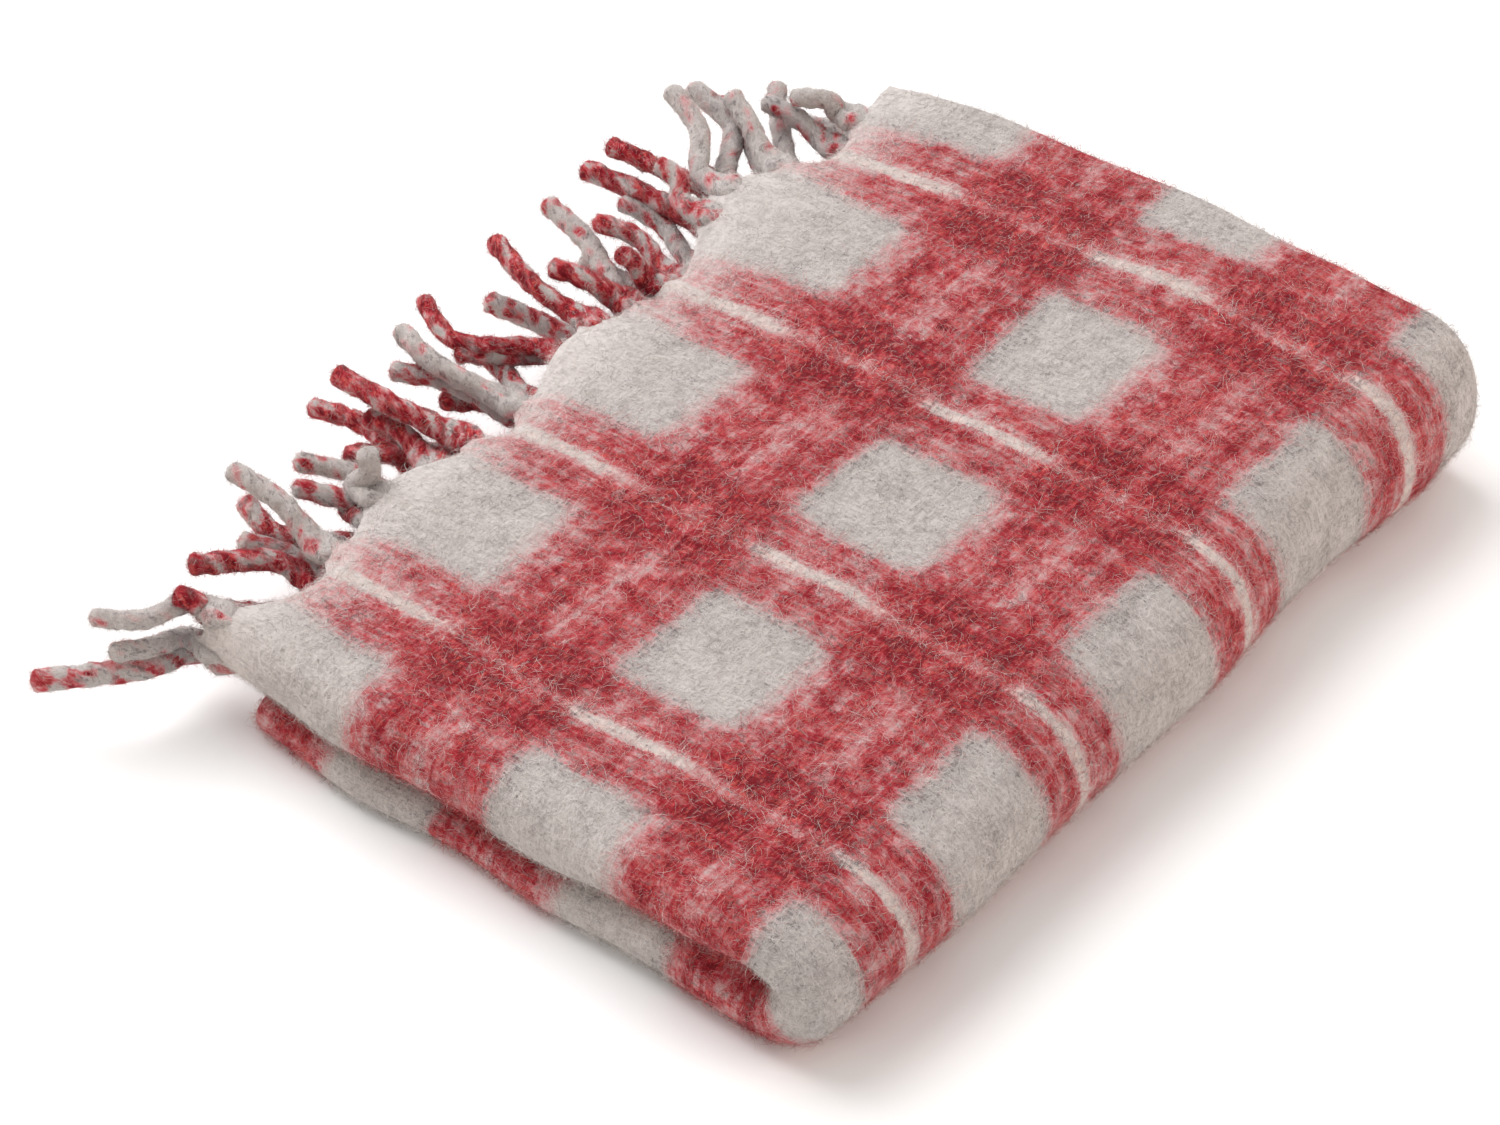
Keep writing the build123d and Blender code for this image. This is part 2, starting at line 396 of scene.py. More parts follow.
def sleeve_faces(rows, columns):
    """A grid whose last row joins its first, with walls that close its first and last columns."""
    near = np.arange(columns - 1)
    last = (rows - 1) * columns
    seam = np.stack([last + near, near, near + 1, last + near + 1], 1)
    a = np.arange(rows // 2 - 1)
    wall = np.stack([a, rows - 1 - a, rows - 2 - a, a + 1], 1) * columns
    return np.concatenate([grid_faces(rows, columns), seam, wall, wall[:, ::-1] + columns - 1])


def grid_normals(points):
    """Normals of a grid of points, (rows, columns, 3), on the same side as grid_faces."""
    return unit(np.cross(np.gradient(points, axis=0), np.gradient(points, axis=1)))


# ---- the path across: top selvedge, round the lengthwise fold, bottom selvedge ----
CAP_STEPS = 4  # of the rounded selvedge
TURN_STEPS = 16  # of the lengthwise fold
BEND_STEPS = 34
END_STEPS = 10  # of the crosswise fold inside the lower half


def fold_path():
    """Columns: y, distance from the bend's axis (rho), the outward direction in both, v, thickness share."""
    rounding = PITCH / 2
    cap = [rounding * (1 - math.cos(math.pi / 2 * k / CAP_STEPS)) for k in range(CAP_STEPS)]
    leg_length = SELVEDGE_Y - FOLD_CENTRE_Y
    leg = list(np.linspace(rounding, leg_length, int(leg_length / GRID)))
    rows = []
    for d in cap + leg:
        squeeze = math.sqrt(max(1 - (1 - min(d / rounding, 1)) ** 2, 0.001))
        rows.append((SELVEDGE_Y - d, PITCH, 0.0, 1.0, SELVEDGE_Y - d, squeeze))
    for k in range(1, TURN_STEPS):
        a = math.pi * k / TURN_STEPS
        sin, cos, v = math.sin(a), math.cos(a), FOLD_CENTRE_Y - OUTER_RADIUS * a
        rows.append((FOLD_CENTRE_Y - PITCH * sin, PITCH * cos, -sin, cos, v, 1.0))
    for y, off, ny, nr, v, squeeze in reversed(rows[:len(cap) + len(leg)]):
        rows.append((y, -off, ny, -nr, 2 * FOLD_CENTRE_Y - OUTER_RADIUS * math.pi - y, squeeze))
    table = np.array(rows)
    table[:, 1] += FOLD_CENTRE_RHO
    return table


PATH = fold_path()
TURN_START = int(np.argmax(PATH[:, 2] < -1e-6))  # first station of the turn
TURN_END = len(PATH) - TURN_START  # first station after it


# ---- outlines along: a loop out on one face of the cloth and back on the other ----
def there_and_back(stations):
    """Stations: x or angle, offset, outward x, outward offset (both for the outer face), and u."""
    s = np.array(stations)
    back = s[::-1].copy()
    back[:, 2:4] *= -1
    return np.concatenate([s, back])


def upper_outline(offset):
    run = BEND_X - FRINGE_X - FRINGE_ROUNDING
    x = np.concatenate([
        np.linspace(BEND_X, FRINGE_X + FRINGE_ROUNDING, int(run / GRID)),
        FRINGE_X + FRINGE_ROUNDING * (1 - np.sin(np.linspace(0.2, 1, 5) * math.pi / 2)),
    ])
    edge = np.clip((x - FRINGE_X) / FRINGE_ROUNDING, 0, 1)
    thin = mix(FRINGE_THIN, 1, smooth((x - FRINGE_X) / FRINGE_REACH))
    squeeze = np.maximum(np.sqrt(1 - (1 - edge) ** 2), 0.05) * thin
    return there_and_back([(a, offset, 0, 0.5 * s, a - FRINGE_X) for a, s in zip(x, squeeze)])


def lower_outline():
    """Outer wrap, round the first crosswise fold, and back as the inner wrap."""
    x = np.linspace(BEND_X, LOWER_END_X, int((BEND_X - LOWER_END_X) / GRID))
    u = (BEND_X - FRINGE_X) + OUTER_RUN + (BEND_X - x) * LOWER_SLACK
    stations = [(a, PAIR_OFFSET, 0, 0.5, c) for a, c in zip(x, u)]
    for angle in np.linspace(0, math.pi, END_STEPS)[1:-1]:
        sin, cos = math.sin(angle), math.cos(angle)
        end_x, end_u = LOWER_END_X - PAIR_OFFSET * sin, u[-1] + PAIR_OFFSET * angle
        stations.append((end_x, PAIR_OFFSET * cos, -0.5 * sin, 0.5 * cos, end_u))
    end = u[-1] + PAIR_OFFSET * math.pi
    stations += [(a, -PAIR_OFFSET, 0, -0.5, end + (a - LOWER_END_X) * LOWER_SLACK) for a in x[::-1]]
    return there_and_back(stations)


def bend_outline(offset):
    angles = np.linspace(0, math.pi, BEND_STEPS)
    return there_and_back([(a, offset, 0, 0.5, BEND_X - FRINGE_X + OUTER_RUN * a / math.pi) for a in angles])


def place(outline, where):
    """The outline along the path, settled: points and flat cloth places, both (rows, columns, 3)."""
    along, offset, out_x, out_offset, u = (outline[:, k][:, None] for k in range(5))
    y, rho, ny, nr, v, squeeze = (PATH[:, k][None, :] for k in range(6))
    off = offset + out_offset * THICKNESS * squeeze
    y = y + ny * off
    rho = rho + nr * off
    if where == "bend":
        x = BEND_X + rho * np.sin(along)
        z = BEND_Z + rho * np.cos(along)
    else:
        x = along + out_x * THICKNESS * squeeze + 0 * rho
        z = BEND_Z + (rho if where == "upper" else -rho)
    shape = rho.shape
    points = settle(np.stack([x, y, z], -1).reshape(-1, 3)).reshape(*shape, 3)
    flat = np.stack(np.broadcast_arrays(u, v, 0 * rho), -1)
    if where != "upper":  # mirrored, so the rows run the other way
        points, flat = points[::-1], flat[::-1]
    return points, flat


# ---- materials ----
class Nodes:
    """Short names for the nodes of one material."""

    def __init__(self, name):
        self.material = bpy.data.materials.new(name)
        self.material.use_nodes = True
        self.tree = self.material.node_tree
        self.shader = self.tree.nodes["Principled BSDF"]

    def link(self, value, socket):
        if isinstance(value, bpy.types.NodeSocket):
            self.tree.links.new(value, socket)
        else:
            socket.default_value = value

    def math(self, operation, *values, clamp=False):
        node = self.tree.nodes.new("ShaderNodeMath")
        node.operation = operation
        node.use_clamp = clamp
        for value, socket in zip(values, node.inputs):
            self.link(value, socket)
        return node.outputs[0]

    def scaled(self, value, factor, plus=0.0):
        return self.math("MULTIPLY_ADD", value, factor, plus)

    def split(self, vector):
        node = self.tree.nodes.new("ShaderNodeSeparateXYZ")
        self.link(vector, node.inputs[0])
        return node.outputs

    def join(self, x, y, z=0.0):
        node = self.tree.nodes.new("ShaderNodeCombineXYZ")
        for item, socket in zip((x, y, z), node.inputs):
            self.link(item, socket)
        return node.outputs[0]

    def attribute(self, name):
        node = self.tree.nodes.new("ShaderNodeAttribute")
        node.attribute_name = name
        return node.outputs["Vector"]

    def noise(self, vector, scale, detail):
        node = self.tree.nodes.new("ShaderNodeTexNoise")
        self.link(vector, node.inputs["Vector"])
        node.inputs["Scale"].default_value = scale
        node.inputs["Detail"].default_value = detail
        node.inputs["Roughness"].default_value = 0.6
        return node.outputs["Fac"]

    def step(self, value, low, high):
        """0 below low, 1 above high, smooth between."""
        node = self.tree.nodes.new("ShaderNodeMapRange")
        node.interpolation_type = "SMOOTHSTEP"
        self.link(value, node.inputs["Value"])
        self.link(low, node.inputs["From Min"])
        self.link(high, node.inputs["From Max"])
        return node.outputs["Result"]

    def blend(self, factor, a, b):
        node = self.tree.nodes.new("ShaderNodeMix")
        node.data_type = "RGBA"
        self.link(factor, node.inputs["Factor"])
        for item, socket in zip((a, b), (node.inputs[6], node.inputs[7])):
            self.link((*item, 1) if isinstance(item, tuple) else item, socket)
        return node.outputs[2]

    def ramp(self, value, stops):
        """A colour from stops of (position, colour)."""
        node = self.tree.nodes.new("ShaderNodeValToRGB")
        self.link(value, node.inputs[0])
        elements = node.color_ramp.elements
        while len(elements) < len(stops):
            elements.new(0.5)
        for element, (position, colour) in zip(elements, stops):
            element.position = position
            element.color = (*colour, 1)
        return node.outputs[0]

    def yarn_ramp(self, at, origin, period, table):
        """Shares of red, cream and dark yarn from one of the plaid tables."""
        turns = self.scaled(at, 1 / period, -origin / period)
        place_in_period = self.math("FRACT", turns)
        shares = self.ramp(place_in_period, [(position / table[-1][0], share) for position, *share in table])
        colour = self.tree.nodes.new("ShaderNodeSeparateColor")
        self.link(shares, colour.inputs[0])
        return colour.outputs

    def bump(self, heightmap, distance, strength):
        node = self.tree.nodes.new("ShaderNodeBump")
        node.inputs["Strength"].default_value = strength
        node.inputs["Distance"].default_value = distance
        self.link(heightmap, node.inputs["Height"])
        self.link(node.outputs[0], self.shader.inputs["Normal"])

    def wool_surface(self):
        self.shader.inputs["Roughness"].default_value = 0.95
        self.shader.inputs["Specular IOR Level"].default_value = 0.15
        self.shader.inputs["Sheen Weight"].default_value = 0.12
        self.shader.inputs["Sheen Roughness"].default_value = 0.6


THREAD_CONTRAST, BLOTCH_CONTRAST = 1.7, 2.1
MEAN_FELT = 1.92  # of the threads and blotches, at these contrasts
SALMON_SHARE = 0.65
FLECK_SHARE = 0.75


def wool_colour(n, red, cream, dark, along, across, blotch):
    """Felted yarn of the given shares. The last three are noises: two threadlike ones and a broad one."""
    threads = n.scaled(n.math("ADD", along, across), 0.5)
    felted = n.math("ADD", n.scaled(threads, THREAD_CONTRAST), n.scaled(blotch, BLOTCH_CONTRAST))
    varied = n.math("MULTIPLY", n.scaled(felted, -1.0, MEAN_FELT), n.step(red, 0.0, 0.4))
    tone = n.ramp(n.math("ADD", red, varied, clamp=True), REDS)
    in_red = n.scaled(n.step(red, 0.3, 0.7), SALMON_SHARE)
    tone = n.blend(n.math("MULTIPLY", n.step(across, 0.48, 0.64), in_red), tone, SALMON)
    grey_tone = n.blend(n.step(threads, 0.38, 0.60), GREY, PALE_GREY)
    tone = n.blend(n.step(red, 0.04, 0.3), grey_tone, tone)
    cream_here = n.step(n.math("SUBTRACT", cream, n.scaled(threads, 4.0, -1.6)), -0.1, 1.1)
    tone = n.blend(cream_here, tone, CREAM)
    fleck_here = n.step(n.math("ADD", n.scaled(dark, 0.35, 0.045), threads), 0.58, 0.74)
    return n.blend(n.scaled(fleck_here, FLECK_SHARE), tone, DARK_GREY)


WANDER, FLUTTER = 14 * MM, 7 * MM  # how far the plaid's lines stray, slowly and quickly


def plaid(n, flat):
    """The lengthwise stripe and the crosswise band, each as shares of red, cream and dark yarn."""
    u, v, _ = n.split(flat)
    wander = n.scaled(n.noise(flat, 38, 3.0), WANDER, -WANDER / 2)
    flutter = n.scaled(n.noise(flat, 240, 2.0), FLUTTER, -FLUTTER / 2)
    shift = n.math("ADD", wander, flutter)
    u_here = n.math("ADD", u, shift)
    v_here = n.math("ADD", v, n.scaled(shift, 0.7))
    stripe = n.yarn_ramp(v_here, STRIPE_V, STRIPE_PERIOD, STRIPE_YARNS)
    faded = n.scaled(n.step(u, 0.0, FADE_REACH), 1 - FADE, FADE)
    begun = n.step(u, FIRST_BAND - BAND_START, FIRST_BAND)
    band = [n.math("MULTIPLY", begun, part) for part in n.yarn_ramp(u_here, BAND_U, BAND_PERIOD, BAND_YARNS)]
    return [n.math("MULTIPLY", stripe[0], faded), stripe[1], stripe[2]], band


def plaid_yarns(n, flat):
    """Shares of red, cream and dark yarn, with streaks of single yarns in the red."""
    stripe, band = plaid(n, flat)
    u, v, _ = n.split(flat)
    deep = n.math("MULTIPLY", stripe[0], band[0])
    red = n.math("ADD", n.scaled(stripe[0], STRIPE_RED), n.scaled(band[0], BAND_RED))
    red = n.math("SUBTRACT", red, n.scaled(deep, BOTH_RED))
    ends = n.noise(n.join(n.scaled(u, 10.0), n.scaled(v, 260.0), 9.0), 1.0, 2.0)
    picks = n.noise(n.join(n.scaled(u, 260.0), n.scaled(v, 10.0), 3.0), 1.0, 2.0)
    for share, yarns in ((stripe[0], ends), (band[0], picks)):
        red = n.math("ADD", red, n.math("MULTIPLY", share, n.scaled(yarns, STREAKS, -0.5 * STREAKS)))
    cream = n.math("MULTIPLY", n.math("MAXIMUM", stripe[1], band[1]), n.scaled(deep, -CREAM_IN_RED, 1.0))
    over_band = n.math("MINIMUM", band[0], stripe[1])
    cream = n.math("MULTIPLY", cream, n.scaled(over_band, -CREAM_IN_BAND, 1.0))
    return red, cream, n.math("MAXIMUM", stripe[2], band[2])


def cloth_material():
    n = Nodes("brushed_plaid_wool")
    n.wool_surface()
    flat = n.attribute("flat")
    u, v, _ = n.split(flat)
    along = n.noise(n.join(n.scaled(u, 110.0), n.scaled(v, 430.0)), 1.0, 3.0)
    across = n.noise(n.join(n.scaled(u, 400.0), n.scaled(v, 120.0), 5.0), 1.0, 3.0)
    colour = wool_colour(n, *plaid_yarns(n, flat), along, across, n.noise(flat, 80, 4.0))
    beside_fringe = n.scaled(n.step(u, 0.0, FRINGE_PALE_REACH), -FRINGE_PALE, FRINGE_PALE)
    n.link(n.blend(beside_fringe, colour, HAZE), n.shader.inputs["Base Color"])
    lumps = n.math("ADD", n.noise(flat, 260, 3.0), n.math("ADD", along, across))
    n.bump(lumps, 1.6 * MM, 0.7)
    return n.material


def tassel_material():
    n = Nodes("twisted_wool_fringe")
    n.wool_surface()
    red, cream, dark = n.split(n.attribute("yarn"))
    lay = n.attribute("lay")
    along = n.noise(lay, 0.35, 3.0)
    across = n.noise(lay, 0.8, 2.0)
    colour = wool_colour(n, n.scaled(red, TWIST_RED), cream, dark, along, across, n.noise(lay, 0.5, 2.0))
    n.link(colour, n.shader.inputs["Base Color"])
    n.bump(n.math("ADD", along, across), 0.9 * MM, 0.5)
    return n.material


def plain_material(name, colour):
    material = bpy.data.materials.new(name)
    material.use_nodes = True
    shader = material.node_tree.nodes["Principled BSDF"]
    shader.inputs["Base Color"].default_value = (*colour, 1)
    shader.inputs["Roughness"].default_value = 0.9
    shader.inputs["Specular IOR Level"].default_value = 0.1
    return material


CLOTH = cloth_material()
WOOL_TWIST = tassel_material()
TONES = GREY_TONES | RED_TONES
FIBRES = [plain_material("fibre_" + name, colour) for name, colour in TONES.items()]


# ---- loose fibres: thin curled ribbons standing on the cloth ----
FIBRE_STEPS = 3
FIBRE_WIDTH = 0.17 * MM
TAPER = (1.0, 1.0, 0.85, 0.35)  # shares of the width at the ends of the steps
LONGEST = 1.8  # times the usual length
ROOT_SPREAD = 2.5 * MM  # how far a fibre of one yarn strays over its neighbours
CHUNK = 30000  # fibres in one piece
PALE, SMOKE, BLUSH, WINE = (list(TONES).index(name) for name in ("pale", "smoke", "blush", "wine"))
BOX_LOW, BOX_HIGH = (np.array(corner) for corner in CAD_BOX)
FIBRE_ROOM = 0.03 * (BOX_HIGH - BOX_LOW) + 8 * MM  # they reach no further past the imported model
FIBRE_LOW = np.append((BOX_LOW - FIBRE_ROOM)[:2], 0.3 * MM)
FIBRE_HIGH = BOX_HIGH + FIBRE_ROOM


def yarn_tones(red, cream, dark, patchy, r):
    """Index of each fibre's tone, for arrays of yarn shares. "patchy" is noise of about unit size."""
    count = len(red)
    redness = red * (1 - 0.7 * cream) + 0.17 * patchy * smooth(red * 4) + r.normal(0, 0.07, count)
    tone = BLUSH + np.searchsorted(TONE_FROM, redness)
    is_grey = r.uniform(size=count) > smooth(red * 2.2) - 0.05
    greys = np.searchsorted((0.5, 0.97), r.uniform(size=count) + 0.2 * patchy)
    tone = np.where(is_grey, greys, tone)
    tone = np.where(r.uniform(size=count) < 0.75 * cream, PALE, tone)
    tone = np.where(r.uniform(size=count) < STRAY_BLUSH * smooth(red * 3), BLUSH, tone)
    flecked = r.uniform(size=count) + 0.1 * patchy > 0.955 - 0.16 * dark
    return np.where(flecked, np.where(red > 0.3, WINE, SMOKE), tone)


def cloth_tones(flat, r):
    """Tones of the fibres at places on the flat cloth, in the same streaks and blotches for all pieces."""
    u, v = (flat[:, k] + r.normal(0, ROOT_SPREAD, len(flat)) for k in (0, 1))
    stripe = [yarn_share(v, STRIPE_V, STRIPE_PERIOD, STRIPE_YARNS, k) for k in (1, 2, 3)]
    begun = smooth((u - FIRST_BAND) / BAND_START + 1)
    band = [begun * yarn_share(u, BAND_U, BAND_PERIOD, BAND_YARNS, k) for k in (1, 2, 3)]
    stripe[0] = stripe[0] * mix(FADE, 1, smooth(u / FADE_REACH))
    deep = stripe[0] * band[0]
    red = STRIPE_RED * stripe[0] + BAND_RED * band[0] - BOTH_RED * deep
    cream = np.maximum(stripe[1], band[1])
    cream = cream * (1 - CREAM_IN_BAND * band[0] * stripe[1]) * (1 - CREAM_IN_RED * deep)
    threads = waves(flat * (0.25, 1, 1), 8 * MM, 61, 30) + waves(flat * (1, 0.3, 1), 9 * MM, 62, 30)
    patchy = 0.5 * threads + 0.8 * waves(flat, 18 * MM, 63, 30)
    tone = yarn_tones(red, cream, np.maximum(stripe[2], band[2]), patchy, r)
    beside_fringe = FRINGE_PALE * smooth(1 - u / FRINGE_PALE_REACH)
    return np.where(r.uniform(size=len(u)) < beside_fringe, PALE, tone)


def weighted_areas(points, weights):
    """The area of each face of a grid of points, times the weight of its corners."""
    a, b = points[1:, :-1] - points[:-1, :-1], points[:-1, 1:] - points[:-1, :-1]
    return np.linalg.norm(np.cross(a, b), axis=-1) * (weights[1:, 1:] + weights[:-1, :-1]) / 2


def scatter(points, weights, count, r):
    """Random places on a grid: (row, column, two shares), more where weights and faces are larger."""
    chance = weighted_areas(points, weights).ravel()
    chosen = r.choice(len(chance), count, p=chance / chance.sum())
    columns = points.shape[1] - 1
    return chosen // columns, chosen % columns, r.uniform(size=count), r.uniform(size=count)


def between(grid, spot):
    """Values of a grid at the places that scatter gives."""
    row, column, s, t = spot
    s, t = s[:, None], t[:, None]
    low = mix(grid[row, column], grid[row, column + 1], t)
    high = mix(grid[row + 1, column], grid[row + 1, column + 1], t)
    return mix(low, high, s)


def curled_spines(roots, normals, r, length, lift):
    """Curled ribbons: the points along their spines and the half widths there, one array for each point."""
    count = len(roots)
    side = unit(np.cross(normals, unit(r.normal(size=(count, 3)))))
    heading = r.uniform(0, TURN, count)
    other = np.cross(normals, side)
    size = length * np.minimum(r.lognormal(0, 0.35, count), LONGEST) / FIBRE_STEPS
    thick = FIBRE_WIDTH * r.uniform(0.7, 1.25, count)
    rise = lift * r.uniform(0.3, 1.5, count)
    curl = r.normal(0, 0.3, count)
    spine = [roots - normals * 0.5 * MM]  # from just inside the wool
    across = []
    for k in range(FIBRE_STEPS):
        flat_way = side * np.cos(heading)[:, None] + other * np.sin(heading)[:, None]
        step = unit(flat_way + normals * (rise * (1 - 1.5 * k / FIBRE_STEPS))[:, None])
        spine.append(spine[-1] + step * size[:, None])
        roll = r.normal(0, 0.5, count)
        edge = np.cross(step, normals)
        across.append(edge * np.cos(roll)[:, None] + normals * np.sin(roll)[:, None])
        heading = heading + curl + r.normal(0, 0.3, count)
    across.insert(0, across[0])
    return spine, [way * (thick * taper / 2)[:, None] for way, taper in zip(across, TAPER)]


def fibre_ribbons(roots, normals, tones, r, length, lift):
    """Curled ribbons as (points, faces, tone of each face)."""
    count = len(roots)
    points = np.empty((count, FIBRE_STEPS + 1, 2, 3))
    for k, (middle, half) in enumerate(zip(*curled_spines(roots, normals, r, length, lift))):
        points[:, k, 0] = middle - half
        points[:, k, 1] = middle + half
    step_index = np.arange(FIBRE_STEPS) * 2
    quad = np.stack([step_index, step_index + 1, step_index + 3, step_index + 2], 1)
    faces = (np.arange(count) * 2 * (FIBRE_STEPS + 1))[:, None, None] + quad[None]
    return points.reshape(-1, 3), faces.reshape(-1, 4), np.repeat(tones, FIBRE_STEPS)


def fibre_pieces(name, roots, normals, tones, r, length=7.5 * MM, lift=0.5):
    """The fibres as pieces of at most CHUNK each."""
    pieces = []
    for number, start in enumerate(range(0, len(roots), CHUNK)):
        some = slice(start, start + CHUNK)
        parts = roots[some], normals[some], tones[some]
        points, faces, tone = fibre_ribbons(*parts, r, length, lift)
        points = np.clip(points, FIBRE_LOW, FIBRE_HIGH)
        pieces.append(new_object(f"{name}_fibres_{number + 1}", points, faces, FIBRES, tone))
    return pieces


# ---- cloth pieces ----
FIBRES_PER_M2 = 480000
FEWEST = 20  # fibres worth a piece
FUZZ_EDGE = 14 * MM  # inner layers are fuzzy only this near their open edges,
EDGE_FUZZ = 0.7  # and this much
SEAM_FUZZ = 0.35  # between the two halves
UNDERSIDE_FUZZ = 0.12  # on the floor
LOWER_EDGE_FUZZ, LOWER_END_FUZZ = 0.6, 0.8


def leg_weights(first, turn, second):
    """How fuzzy each station of the path is: the two legs and the turn between them."""
    weights = np.full(len(PATH), float(turn))
    weights[:TURN_START] = first
    weights[TURN_END:] = second
    return weights


def near_selvedge():
    return (PATH[:, 0] > SELVEDGE_Y - FUZZ_EDGE).astype(float)


def cloth_piece(name, points, flat, replaced, normals=None):
    rows, columns = points.shape[:2]
    normals = grid_normals(points) if normals is None else normals
    faces = sleeve_faces(rows, columns)
    obj = new_object(name, points.reshape(-1, 3), faces, [CLOTH], normals=normals.reshape(-1, 3))
    set_vectors(obj, "flat", flat.reshape(-1, 3))
    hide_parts(*replaced)
    return obj


def cloth_fuzz(name, points, flat, weights, seed):
    """Fibres on one piece of cloth, more where the weights are larger."""
    r = np.random.default_rng(seed)
    count = int(weighted_areas(points, weights).sum() * FIBRES_PER_M2)
    if count < FEWEST:
        return []
    spot = scatter(points, weights, count, r)
    normals = unit(between(grid_normals(points), spot))
    return fibre_pieces(name, between(points, spot), normals, cloth_tones(between(flat, spot), r), r)


def squash_upper(pieces):
    """Gives each piece of the upper half a mesh of its own."""
    for piece in pieces:
        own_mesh(piece)


def make_upper(kind, offset, seed):
    outline = upper_outline(offset)
    points, flat = place(outline, "upper")
    outside = np.arange(len(outline)) < len(outline) // 2
    fringe_row = outline[:, 0] < FRINGE_X + FUZZ_EDGE
    weights = EDGE_FUZZ * np.maximum(fringe_row[:, None], near_selvedge()[None])
    if kind == "outer":
        weights = np.maximum(weights, outside[:, None] * leg_weights(1, 1, SEAM_FUZZ)[None])
    name = f"upper_{kind}"
    cloth = cloth_piece(name + "_cloth", points, flat, [name + "_wrap"])
    fuzz = cloth_fuzz(name, points, flat, weights, seed)
    for piece in [cloth] + fuzz:
        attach(piece, "upper_half")
    return cloth, fuzz


def make_lower(seed):
    outline = lower_outline()
    points, flat = place(outline, "lower")
    half = len(outline) // 2
    row = np.arange(len(outline))
    outside = (row < half) & ((outline[:, 1] > 0) | (outline[:, 0] < LOWER_END_X + 2 * MM))
    weights = outside[:, None] * leg_weights(UNDERSIDE_FUZZ, 1, SEAM_FUZZ)[None]
    weights = np.maximum(weights, near_selvedge()[None] * LOWER_EDGE_FUZZ)
    end = (outline[:, 0] < LOWER_END_X + 4 * MM) & (row < half)  # round the crosswise fold
    weights = np.maximum(weights, end[:, None] * LOWER_END_FUZZ)[::-1]
    replaced = ["lower_outer_wrap", "lower_inner_wrap", "lower_end_fold"]
    cloth = cloth_piece("lower_cloth", points, flat, replaced)
    fuzz = cloth_fuzz("lower", points, flat, weights, seed)
    for piece in [cloth] + fuzz:
        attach(piece, "lower_half")
    return cloth, fuzz


def make_bend(kind, offset, strips, seed):
    outline = bend_outline(offset)
    points, flat = place(outline, "bend")
    outside = np.arange(len(outline)) < len(outline) // 2
    weights = np.broadcast_to(EDGE_FUZZ * near_selvedge()[None], points.shape[:2])
    if kind == "outer":
        weights = np.maximum(weights, outside[::-1, None] * leg_weights(1, 1, 0)[None])
    normals = grid_normals(points)
    cuts = [0, *np.linspace(TURN_START - 1, TURN_END, strips - 1).round().astype(int), len(PATH) - 1]
    made = []
    for number, (first, last) in enumerate(zip(cuts, cuts[1:])):
        part = slice(first, last + 1)
        name = f"bend_{kind}_{number + 1}"
        spots, places = points[:, part], flat[:, part]
        cloth = cloth_piece(name + "_cloth", spots, places, [f"bend_{kind}_wrap"], normals[:, part])
        fuzz = cloth_fuzz(name, spots, places, weights[:, part], seed + number)
        for piece in [cloth] + fuzz:
            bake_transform(piece)
        made.append((cloth, fuzz, part))
    return made


upper_outer, upper_outer_fuzz = make_upper("outer", PAIR_OFFSET, 11)
upper_inner, upper_inner_fuzz = make_upper("inner", -PAIR_OFFSET, 12)
lower, lower_fuzz = make_lower(13)
outer_bend = make_bend("outer", PAIR_OFFSET, 6, 20)
inner_bend = make_bend("inner", -PAIR_OFFSET, 3, 40)


# ---- the fringe ----
TASSEL_RADIUS = 6.6 * MM
TASSEL_STEP = 2.2 * MM
TASSEL_SIDES = 16
TWIST_PITCH = 34 * MM
ROOT_DEPTH = 22 * MM  # each tassel thickens over this length, inside the cloth
ROOT_REACH = 15 * MM  # it is broad and flat there, over this length
TIP_ROUNDING = 4 * MM
LUMP_SIZE, LUMP_HEIGHT = 9 * MM, 0.35 * MM
LAY_TWIST = 0.35  # the felted colour patches follow the twist only this much
LAY_ALONG, LAY_ROUND = 260, 2.6  # scales of the place on a tassel that its colours are worked out from
FELTED_TOGETHER = 0.7  # how far the two strands' reds are mixed
PATCH_SIZE, PATCH_RED = 3.4, 0.4  # patches of redder and greyer wool
TIP_RED = 0.35  # added to the tips of reddish tassels
FIBRES_PER_STEP = 60


def curve_through(start, edge, middle, end):
    """Points on a smooth curve from inside the cloth, out over its edge, to the tip."""
    control = [2 * start - edge, start, edge, middle, end, end + (end - middle) * 0.5]
    line = []
    for a, b, c, d in zip(control, control[1:], control[2:], control[3:]):
        count = max(int(np.linalg.norm(c - b) / TASSEL_STEP), 4)
        square, cube = 2 * a - 5 * b + 4 * c - d, 3 * b - a - 3 * c + d
        for t in np.linspace(0, 1, count, endpoint=False):
            line.append(0.5 * (2 * b + (c - a) * t + square * t ** 2 + cube * t ** 3))
    return np.array(line + [end])


def frames_along(line):
    """Two side directions that don't spin along the line."""
    tangents = unit(np.gradient(line, axis=0))
    side = unit(np.cross(tangents[0], (0, 0, 1)))
    sides = []
    for tangent in tangents:
        side = unit(side - tangent * (side @ tangent))
        sides.append(side)
    sides = np.array(sides)
    return sides, np.cross(tangents, sides)


def twist_radius(run, angle, lobes, r):
    """Radius of a two-strand twist at each place along it and round it, and a share that ends at its tip."""
    radius = TASSEL_RADIUS * r.uniform(0.92, 1.12) * (0.9 + 0.1 * lobes)
    root = np.exp(-((run - ROOT_DEPTH) / ROOT_REACH) ** 2)[:, None]
    radius = radius * (1 + root * (0.8 * np.abs(np.cos(angle)) - 0.3 * np.abs(np.sin(angle)))[None])
    radius = radius * smooth(0.02 + run / ROOT_DEPTH)[:, None]
    end = np.clip((run[-1] - run) / TIP_ROUNDING, 0, 1)[:, None]
    return radius * np.sqrt(np.maximum(1 - (1 - end) ** 2, 0.02)), end


